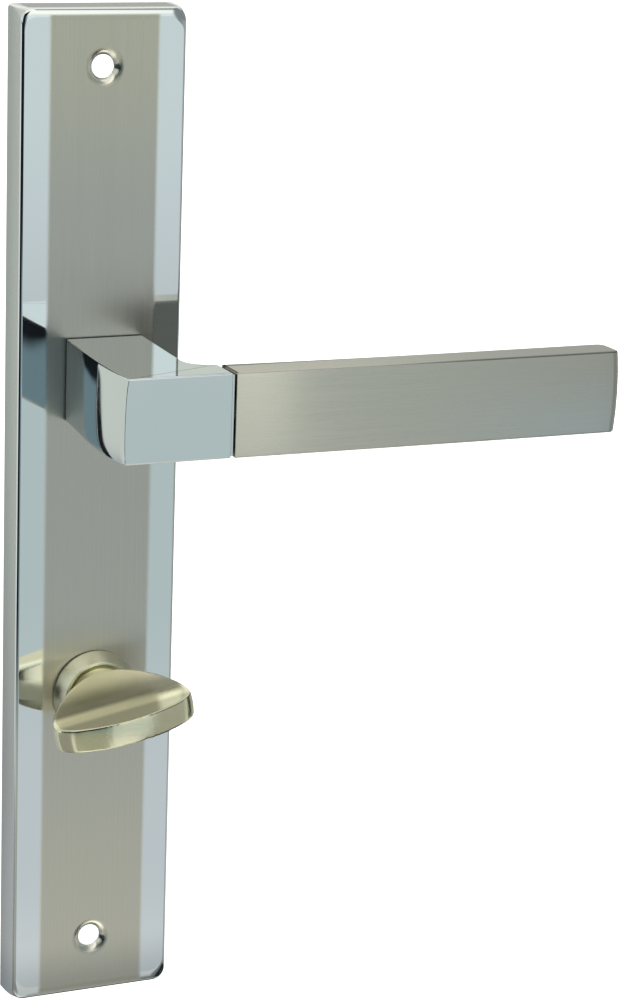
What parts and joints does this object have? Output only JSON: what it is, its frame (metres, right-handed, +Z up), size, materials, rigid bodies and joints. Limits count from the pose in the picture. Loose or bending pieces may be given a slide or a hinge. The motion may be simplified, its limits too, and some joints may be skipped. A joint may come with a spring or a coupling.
{
  "type": "door lever handle",
  "caption": "Long backplate door handle with a square-section two-tone lever on a sprung pivot, and a bathroom thumbturn with finger scoops below it.",
  "frame": {"origin": "on the lever's axis, at the door's face, which is the back of the plate", "axes": "+X along the lever, +Y into the door, +Z up along the plate; the front faces -Y"},
  "size_m": [0.134, 0.0971, 0.2433],
  "materials": {
    "plate_nickel": "satin nickel, brushed along its length in the middle band, polished chrome in the two side bands",
    "chrome": "polished chrome",
    "satin_nickel": "satin nickel, brushed along the lever",
    "turn_nickel": "satin nickel, brushed",
    "zinc_steel": "zinc plated",
    "spring_steel": "oiled",
    "black_steel": "black oxide",
    "nylon": "moulded nylon"
  },
  "bodies": {
    "plate": {"backplate": "plate_nickel", "lever_bush": "nylon", "return_spring": "spring_steel", "spring_cover": "zinc_steel", "cover_screw_upper": "zinc_steel", "cover_screw_lower": "zinc_steel", "turn_collar": "turn_nickel", "turn_bush": "nylon", "collar_clip": "zinc_steel"},
    "lever": {"lever_body": "chrome", "lever_grip": "satin_nickel", "grip_stud": "zinc_steel", "grip_dowel": "zinc_steel", "spindle": "zinc_steel", "spindle_grub_screw": "black_steel", "drive_hub": "zinc_steel", "lever_washer": "zinc_steel", "lever_circlip": "black_steel"},
    "thumbturn": {"turn_knob": "turn_nickel", "turn_spindle": "zinc_steel", "turn_pin": "zinc_steel", "turn_washer": "spring_steel", "turn_circlip": "black_steel"}
  },
  "joints": [
    {"name": "lever_turn", "type": "hinge", "parent": "plate", "child": "lever", "pos_m": [0, 0, 0], "axis": [0, 1, 0], "range_deg": [0, 40], "stiffness_Nm_per_rad": 0.9, "springref_deg": -40.11, "deforming": ["return_spring"]},
    {"name": "thumbturn_turn", "type": "hinge", "parent": "plate", "child": "thumbturn", "pos_m": [0, 0, -0.078], "axis": [0, 1, 0], "range_deg": [-79.6, 10.4]}
  ]
}
